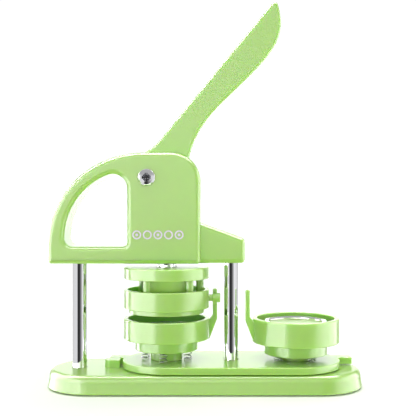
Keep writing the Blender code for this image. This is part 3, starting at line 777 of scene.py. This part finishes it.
def make_head():
    make_head_half(-1)
    make_head_half(1)
    for i, (node, x, z) in enumerate(head_screws(), 1):
        low, high = low_high(node)
        head_r = (high.x - low.x) / 2
        seat = 5 + GAP
        pan_screw(f"head_pan_screw_{i}", node, (x, 0, z), "Y", head_r, seat, high.y, low.y)


def make_face_print():
    """A plain row of round badges, printed on the head's face."""
    face = -HEAD_HALF
    radius = 4.2
    stroke = 1.3
    pitch = 9.9
    first_x = -63.8
    height = 145.6
    loops = []
    for i in range(5):
        centre = (first_x + pitch * i, height)
        loops.append(arc(centre, radius, 0, 360, 40)[:-1])
        loops.append(arc(centre, radius - stroke, 0, 360, 40)[:-1])
        if i % 2 == 0:
            loops.append(arc(centre, stroke, 0, 360, 24)[:-1])
    piece(outline_solid("face_print", loops, face - 0.06, face + 0.2), INK, "frame")


def make_pivot():
    at = (PIVOT.x, 0, PIVOT.z)
    low, high = low_high("pivot_bolt")
    top, end = -low.y, -high.y
    head_r = (high.x - low.x) / 2
    seat = HEAD_HALF + GAP
    shank_r, root_r = 3.9, 3.3
    thread_top = end + 3.2
    profile = rounded(
        [(0, top), (3.5, top), (6.4, top - 1.3), (head_r, seat + 2.1), (head_r, seat, 0.2),
         (shank_r, seat, 0.1), (shank_r, thread_top, 0),
         *thread_profile(shank_r, root_r, thread_top, end + GAP), (0, end)],
        1.6, closed=False, steps=6)
    bolt = turned("pivot_screw", profile, at, "-Y", SMALL)
    cut(bolt, cross_cutter("pivot_cross", at, "-Y", top, 3.4, 9.2))
    piece(bolt, CHROME, "frame", "pivot_bolt")
    nut_low, nut_high = low_high("pivot_nut")
    corner_r = (nut_high.x - nut_low.x) / 2
    corners = rounded(arc((0, 0), corner_r, 0, 300, 5), 0.3, steps=2)
    hexagon = [(PIVOT.x + x, PIVOT.z + z) for x, z in corners]
    nut = outline_solid("pivot_hex_nut", [hexagon], nut_low.y, nut_high.y, edge=0.7)
    cut(nut, hole("nut_bore", 4.2, -60, 0, at, "-Y"))
    piece(nut, STEEL, "frame", "pivot_nut")
    repaint(NYLON, "pivot_sleeve", "pivot_spacer_front", "pivot_spacer_rear")


def thread_profile(crest, root, high, low):
    """Ridges down a screw's end."""
    count = 3
    pitch = (high - low) / count
    points = []
    for i in range(count):
        points.append((crest, high - pitch * i, 0))
        points.append((root, high - pitch * (i + 0.5), 0))
    return points + [(root, low, 0)]


def make_lever():
    lever = outline_solid("hand_lever", [lever_outline()], LEVER_LOW.y, LEVER_HIGH.y, edge=2.5, steps=6)
    cut(lever, hole("lever_bore", 6.5, -20, 20, (PIVOT.x, 0, PIVOT.z), "-Y"))
    piece(lever, GREEN, "lever", "lever")


# ---------------------------------------------------------------- plunger, punch and ring

def make_plunger():
    at = (PUNCH_X, 0, 0)
    rod_r, rod_low, rod_high = upright("plunger_rod")
    bar = rounded([(0, rod_high), (rod_r, rod_high), (rod_r, rod_low), (0, rod_low)], 0.6, closed=False)
    piece(turned("plunger_bar", bar, at), CHROME, "plunger", "plunger_rod")
    cap_r, cap_low, cap_high = upright("plunger_cap")
    cap_bore_r = 3
    skirt = 2
    cap = rounded(
        [(cap_bore_r, cap_high, 0.2), (cap_r, cap_high, 1.5), (cap_r, cap_low), (ROD_BORE_R, cap_low, 0.2),
         (ROD_BORE_R, cap_low + skirt, 0.2), (cap_bore_r, cap_low + skirt, 0.2)], 0.4)
    piece(turned("plunger_head", cap, at), STEEL, "plunger", "plunger_cap")
    repaint(STEEL, "plunger_cap_screw", "punch_screw")
    repaint(NYLON, "plunger_bush")
    spring("plunger_return_spring", 12.1, 1.8, "frame")


def make_punch():
    at = (PUNCH_X, 0, 0)
    disc_r, disc_low, disc_high = upright("punch_disc")
    rim_r = disc_r - 2.9
    web_low = disc_high - 2.6
    disc = rounded(
        [(ROD_BORE_R, disc_high, 0.3), (disc_r, disc_high, 1), (disc_r, disc_low, 0.7),
         (rim_r, disc_low, 0.3), (rim_r, web_low, 0.5), (ROD_BORE_R, web_low, 0.2)], 0)
    piece(turned("punch_head", disc, at), GREEN, "plunger", "punch_disc")
    hub_r, hub_low, hub_high = upright("punch_hub")
    bore_r = 4
    hub = rounded(
        [(bore_r, hub_high, 0.2), (hub_r, hub_high), (hub_r, hub_low), (bore_r, hub_low, 0.2)], 0.4)
    piece(turned("punch_neck", hub, at), GREEN, "plunger", "punch_hub")
    plate_r, plate_low, plate_high = upright("punch_plate")
    sink_r, sink_depth = 8.2, 3
    plate = rounded(
        [(bore_r, plate_high), (plate_r, plate_high), (plate_r, plate_low, 0.8), (sink_r, plate_low, 0.2),
         (bore_r, plate_low + sink_depth, 0.2)], 0.3)
    piece(turned("punch_face", plate, at), STEEL, "plunger", "punch_plate")


def make_upper_ring():
    """The sleeve round the punch, with a lip below that goes into a die's cup and a slot for the peg."""
    at = (PUNCH_X, 0, 0)
    sleeve_r, low, high = upright("upper_ring")
    inside_r, lip_r, bore_r = 37.3, 36.2, 30.1
    shelf, step = 79, 75.3
    profile = rounded(
        [(inside_r, high), (sleeve_r, high, 0.8), (sleeve_r, step, 0.9), (lip_r, step, 0.5),
         (lip_r, low, 0.7), (bore_r, low), (bore_r, shelf), (inside_r, shelf, 0.6)], 0.4)
    ring = turned("upper_sleeve", profile, at)
    first, last = -6, 36
    slot_half = 3.7
    peg_z = middle("selector_peg").z
    slot = arc((PUNCH_X, 0), 34, last, first, 24) + arc((PUNCH_X, 0), 46, first, last, 24)
    cut(ring, outline_solid("peg_slot", [slot], peg_z - slot_half, peg_z + slot_half, standing=False))
    piece(ring, GREEN, "upper_ring", "upper_ring")


def make_selector():
    """A ring with four posts up to the punch disc, and the peg that the cups' arms swing."""
    at = (PUNCH_X, 0, 0)
    ring_r, low, post_top = upright("selector_ring")
    inside_r = 30.5
    ring_top = 89
    profile = rounded([(inside_r, ring_top), (ring_r, ring_top), (ring_r, low), (inside_r, low)], 0.5)
    selector = turned("selector", profile, at)
    post_orbit = 32.4
    post_r = 3.7
    post_foot = ring_top - 0.5
    post = rounded(
        [(0, post_top), (post_r, post_top, 0.6), (post_r, post_foot, 0), (0, post_foot)], 0, closed=False)
    posts = []
    for angle in (-121, -46, 10, 141):
        turn = math.radians(angle)
        spot = (PUNCH_X + post_orbit * math.cos(turn), post_orbit * math.sin(turn), 0)
        posts.append(turned(f"selector_post_{angle}", post, spot, sides=SMALL))
    join(selector, *posts)
    piece(selector, GREEN, "selector", "selector_ring")
    peg_low, peg_high = low_high("selector_peg")
    tip, end = peg_low.x - PUNCH_X, peg_high.x - PUNCH_X
    knob_r, stem_r, tip_r = peg_high.y, 3.2, 2.2
    knob, shoulder = 44.2, 37.3
    peg = rounded(
        [(0, end), (knob_r, end, 0.8), (knob_r, knob, 0.6), (stem_r, knob, 0.5), (stem_r, shoulder, 0),
         (tip_r, shoulder, 0), (tip_r, tip, 0.3), (0, tip)], 0.4, closed=False)
    peg_at = (PUNCH_X, 0, middle("selector_peg").z)
    piece(turned("selector_knob", peg, peg_at, "X", SMALL), GREEN, "selector", "selector_peg")


# ---------------------------------------------------------------- turntable and dies

def make_turntable():
    radius = PLATE_HIGH.y
    outline = stadium_outline(DIE_ORBIT, radius, TURNTABLE_X)
    plate = outline_solid("turntable", [outline], PLATE_LOW.z, PLATE_TOP, edge=0.8, standing=False)
    near, far, reach = 6.8, 20, 117.5
    root = radius + DIE_ORBIT - 14
    bottom, top = PLATE_LOW.z + 0.1, PLATE_TOP - 0.02
    lugs = []
    for sign in (-1, 1):
        left, right = sorted((TURNTABLE_X + sign * root, TURNTABLE_X + sign * reach))
        lugs.append(box(f"lug_{sign}", (left, near, bottom), (right, far, top), edge=0.8))
    join(plate, *lugs)
    cut(plate, hole("pivot_bore", SOCKET_R + 0.1, 0, PLATE_TOP + 0.9, (TURNTABLE_X, 0, 0), flare=0.45))
    piece(plate, GREEN, "turntable", "turntable_plate")
    repaint(NYLON, "turntable_washer")
    repaint(STEEL, "die_a_screw", "die_b_screw")


def switch_arm(name, middle_y, die_sign):
    """The bar on a cup that swings the selector knob, drawn in X from the turntable's pivot, and Z."""
    near, far, root = 13.4, 17.6, 24
    top, elbow, foot = 92.6, 63.4, 44.6
    arm_half = 2.1
    points = [
        (near, top, 1.4), (far, top, 1.4), (far, elbow + 4, 2), (far + 3, elbow, 1), (root, elbow - 0.5, 0),
        (root, foot, 0), (root - 3.2, foot - 0.4, 1), (near, elbow + 0.1, 4)]
    outline = [(TURNTABLE_X + die_sign * u, z) for u, z in rounded(points, 0, steps=6)]
    return outline_solid(name, [outline], middle_y - arm_half, middle_y + arm_half, edge=0.7)


def pockets(name, die):
    """A cutter over each of a die's springs."""
    pocket_r = 4.6
    made = []
    for i in range(1, 5):
        spring_node = f"die_{die}_spring_{i}"
        top = low_high(spring_node)[1].z + GAP
        made.append(hole(f"{name}_{i}", pocket_r, 10, top, (*middle(spring_node).xy, 0)))
    return made


def make_cup(die, x, shoulder, floor, die_sign):
    """A wide mouth over a narrow foot that slides on the die's pedestal, with the switch arm at its side."""
    low, high = low_high(f"die_{die}_cup")
    outside_r, mouth_r, foot_r, bore_r = high.y, 37, 30, 15.4
    rim = 65.4
    arm_y = -6.9 * die_sign
    profile = rounded(
        [(mouth_r, rim, 0.5), (outside_r, rim, 1), (outside_r, shoulder, 0.9), (foot_r, shoulder, 0.6),
         (foot_r, low.z, 0.8), (bore_r, low.z, 0.3), (bore_r, floor, 0.3), (mouth_r, floor, 0.8)], 0)
    cup = turned(f"die_{die}_holder", profile, (x, 0, 0))
    join(cup, switch_arm(f"arm_{die}", arm_y, die_sign))
    cut(cup, *pockets(f"pocket_{die}", die))
    piece(cup, GREEN, f"die_{die}_cup", f"die_{die}_cup")


def make_die_springs(die):
    """Four coils in the place of a die's CAD springs, riding on the turntable."""
    for i in range(1, 5):
        spring(f"die_{die}_spring_{i}", 3.5, 0.9, "turntable")


def make_die_a():
    """The die that takes the badge's front: a cup with a steel anvil inside."""
    at = (PUNCH_X, 0, 0)
    make_cup("a", PUNCH_X, 46.1, 52.6, -1)
    post_r, post_low, post_high = upright("die_a_post")
    post = rounded(
        [(0, post_high), (post_r, post_high, 0.5), (post_r, post_low), (0, post_low)], 0, closed=False)
    piece(turned("die_a_pedestal", post, at), GREEN, "turntable", "die_a_post")
    disc_r, low, high = upright("die_a_disc")
    hollow_r, hollow_depth = 24.5, 0.5
    disc = rounded(
        [(0, high - hollow_depth), (hollow_r, high - hollow_depth), (hollow_r + hollow_depth, high),
         (disc_r, high, 0.6), (disc_r, low), (0, low)], 0.4, closed=False)
    piece(turned("die_a_anvil", disc, at), CHROME, "turntable", "die_a_disc")
    make_die_springs("a")


def make_die_b():
    """The die that closes the badge: a cup with a crimp ring on a stepped pedestal."""
    at = (DIE_B_X, 0, 0)
    make_cup("b", DIE_B_X, 42.6, 45.4, 1)
    step_r, low, high = upright("die_b_post")
    top_r, stem_r = 25.6, 15
    step_high, step_low = 49.7, 45.7
    post = rounded(
        [(0, high), (top_r, high, 0.8), (top_r, step_high, 0.2), (step_r, step_high, 0.2),
         (step_r, step_low, 0.4), (stem_r, step_low, 0.3), (stem_r, low), (0, low)], 0, closed=False)
    piece(turned("die_b_pedestal", post, at), GREEN, "turntable", "die_b_post")
    ring_r, ring_low, ring_high = upright("die_b_crimp_ring")
    ring_bore_r, mouth_r = top_r + GAP, 27
    ring = rounded(
        [(mouth_r, ring_high, 0.4), (ring_r, ring_high, 0.7), (ring_r, ring_low, 0.2),
         (ring_bore_r, ring_low, 0.2), (ring_bore_r, ring_high - 1, 0.8)], 0.4)
    piece(turned("die_b_crimper", ring, at), CHROME, "turntable", "die_b_crimp_ring")
    make_die_springs("b")


# ---------------------------------------------------------------- stage

def grey(level):
    return (level, level, level)


def make_floor():
    """A plain pale floor, larger than any view shows. Glossy surfaces mirror the room instead of it."""
    bm = bmesh.new()
    bmesh.ops.create_grid(bm, x_segments=8, y_segments=8, size=6)
    just_below = Matrix.Translation((0, 0, -0.0002))
    floor = object_from("floor", bm, just_below)
    made, tree, shader = shader_material("floor_paper", grey(0.97), 0.9)
    tone = ramp(tree, object_noise(tree, 3, 2), [(0.3, grey(0.965)), (0.7, grey(0.975))])
    tree.links.new(tone, shader.inputs["Base Color"])
    shader.inputs["Specular IOR Level"].default_value = 0.0
    floor.data.materials.append(made)
    floor.visible_glossy = False


def math_node(tree, operation, first, second):
    """A maths node's result. Each input is an output to link, or a number."""
    made = tree.nodes.new("ShaderNodeMath")
    made.operation = operation
    for slot, value in enumerate((first, second)):
        if isinstance(value, (int, float)):
            made.inputs[slot].default_value = value
        else:
            tree.links.new(value, made.inputs[slot])
    return made.outputs["Value"]


def room_walls(tree, direction):
    """Brightness by direction round the room, in degrees from the front, with +X at 90."""
    walls = [
        (-180, 1), (-162, 1), (-150, 0.22), (-115, 0.33), (-34, 0.36), (-25, 0.012), (8, 0.018), (33, 0.18),
        (50, 0.42), (115, 0.33), (150, 0.22), (162, 1), (180, 1)]
    turn = math_node(tree, "ARCTAN2", direction["X"], math_node(tree, "MULTIPLY", direction["Y"], -1))
    share = tree.nodes.new("ShaderNodeMapRange")
    share.inputs["From Min"].default_value = -math.pi
    share.inputs["From Max"].default_value = math.pi
    tree.links.new(turn, share.inputs["Value"])
    return ramp(tree, share.outputs["Result"], [(0.5 + angle / 360, grey(level)) for angle, level in walls])


def make_world():
    """A white room with a dark strip low down at the front, where the photographer stands."""
    world = bpy.data.worlds.new("studio")
    bpy.context.scene.world = world
    world.use_nodes = True
    tree = world.node_tree
    nodes = tree.nodes
    links = tree.links
    place = nodes.new("ShaderNodeTexCoord")
    axes = nodes.new("ShaderNodeSeparateXYZ")
    links.new(place.outputs["Generated"], axes.inputs["Vector"])
    rise = ramp(tree, axes.outputs["Z"], [(0.2, grey(0)), (0.45, grey(1))])
    walls_to_ceiling = nodes.new("ShaderNodeMixRGB")
    walls_to_ceiling.inputs["Color2"].default_value = (*grey(0.2), 1)
    links.new(rise, walls_to_ceiling.inputs["Fac"])
    links.new(room_walls(tree, axes.outputs), walls_to_ceiling.inputs["Color1"])
    room = nodes["Background"]
    room.inputs["Strength"].default_value = 2.4
    links.new(walls_to_ceiling.outputs["Color"], room.inputs["Color"])
    backdrop = nodes.new("ShaderNodeBackground")
    backdrop.inputs["Color"].default_value = (*grey(1), 1)
    backdrop.inputs["Strength"].default_value = 1.05
    ray = nodes.new("ShaderNodeLightPath")
    seen = nodes.new("ShaderNodeMixShader")
    links.new(ray.outputs["Is Camera Ray"], seen.inputs["Fac"])
    links.new(room.outputs["Background"], seen.inputs[1])
    links.new(backdrop.outputs["Background"], seen.inputs[2])
    links.new(seen.outputs["Shader"], nodes["World Output"].inputs["Surface"])


def add_light(name, kind, power, place, target):
    light = bpy.data.lights.new(name, kind)
    light.energy = power
    lamp = bpy.data.objects.new(name, light)
    bpy.context.scene.collection.objects.link(lamp)
    lamp.location = place
    lamp.rotation_euler = (Vector(target) - Vector(place)).to_track_quat("-Z", "Y").to_euler()
    lamp.visible_camera = False
    return lamp


def softbox(name, place, target, size, power):
    lamp = add_light(name, "AREA", power, place, target)
    lamp.data.shape = "RECTANGLE"
    lamp.data.size, lamp.data.size_y = size
    return lamp


def feather(lamp, across, up=((0, 1), (1, 1))):
    """Softens a softbox's edges. Both lists are (place, level) stops from one edge to the other."""
    lamp.data.use_nodes = True
    tree = lamp.data.node_tree
    spot = tree.nodes.new("ShaderNodeNewGeometry")
    axes = tree.nodes.new("ShaderNodeSeparateXYZ")
    tree.links.new(spot.outputs["Parametric"], axes.inputs["Vector"])
    levels = [ramp(tree, axes.outputs[axis], [(at, grey(level)) for at, level in stops])
              for axis, stops in (("X", across), ("Y", up))]
    tree.links.new(math_node(tree, "MULTIPLY", *levels), tree.nodes["Emission"].inputs["Strength"])


def collected(name, pieces):
    """A collection that says which pieces a lamp lights."""
    made = bpy.data.collections.new(name)
    for piece_name in pieces:
        made.objects.link(bpy.data.objects[piece_name])
    return made


def make_fills():
    """Soft light for the shading. It doesn't show in reflections."""
    aim = (0, 0, 0.15)
    sun = add_light("overhead_fill", "SUN", 1.8, (0, 0, 2), aim)
    sun.data.angle = math.radians(70)
    front = softbox("front_fill", (0.35, -1.3, 0.25), aim, size=(1.0, 0.8), power=4.4)
    neck = softbox("neck_fill", (0.1, -1.2, 0.1), (PUNCH_X * MM, 0, 0.1), size=(0.6, 0.3), power=8)
    neck.light_linking.receiver_collection = collected("deep_pieces", ["punch_neck"])
    for fill in (sun, front, neck):
        fill.visible_glossy = False


def make_glints():
    """Softboxes that only show as sheen on the green mouldings."""
    left = softbox("left_glint", (-1.2, -0.5, 0.1), (0, -0.5, 0.1), size=(3.2, 1.8), power=230)
    feather(left, [(0, 0.7), (0.4, 0.7), (0.72, 0.72), (0.9, 0.6), (1, 0.5)])
    corner = softbox("left_corner_glint", (-0.7, -1.5, 0.1), (-0.7, 0, 0.1), size=(1.1, 1.8), power=22)
    feather(corner, [(0, 1), (0.3, 0.7), (1, 0)])
    right = softbox("right_glint", (1.4, -0.15, 0.15), (0, -0.15, 0.15), size=(2.4, 1.6), power=70)
    feather(right, [(0, 0.2), (0.4, 1), (0.6, 1), (1, 0.8)])
    top = softbox("top_glint", (-0.3, 0, 1.2), (-0.3, 0, 0), size=(2.4, 1.0), power=120)
    face = softbox("face_glint", (-0.3, -1.3, 0.5), (-0.3, 0, 0.5), size=(1.5, 1.2), power=20)
    feather(face, [(0, 0.3), (0.3, 1), (0.7, 1), (1, 0.3)], [(0, 0), (0.2, 0.8), (1, 1)])
    mouldings = [obj.name for obj in bpy.context.scene.objects
                 if GREEN.name in obj.material_slots and obj.name != "punch_neck"]
    lit = collected("mouldings", mouldings)
    for glint in (left, corner, right, top, face):
        glint.visible_diffuse = False
        glint.light_linking.receiver_collection = lit


def make_camera():
    """A level camera in front of the object, at the height of the head."""
    camera = bpy.data.cameras.new("camera")
    camera.lens = 66.6
    camera.sensor_width = 36
    holder = bpy.data.objects.new("camera", camera)
    bpy.context.scene.collection.objects.link(holder)
    holder.location = (0.0028, -0.7404, 0.1707)
    holder.rotation_euler = (math.radians(90), 0, 0)
    bpy.context.scene.camera = holder


make_base()
make_base_cover()
make_columns()
make_head()
make_face_print()
make_pivot()
make_lever()
make_plunger()
make_punch()
make_upper_ring()
make_selector()
make_turntable()
make_die_a()
make_die_b()
make_floor()
make_world()
make_fills()
make_glints()
make_camera()
bpy.context.scene.view_settings.view_transform = "Standard"
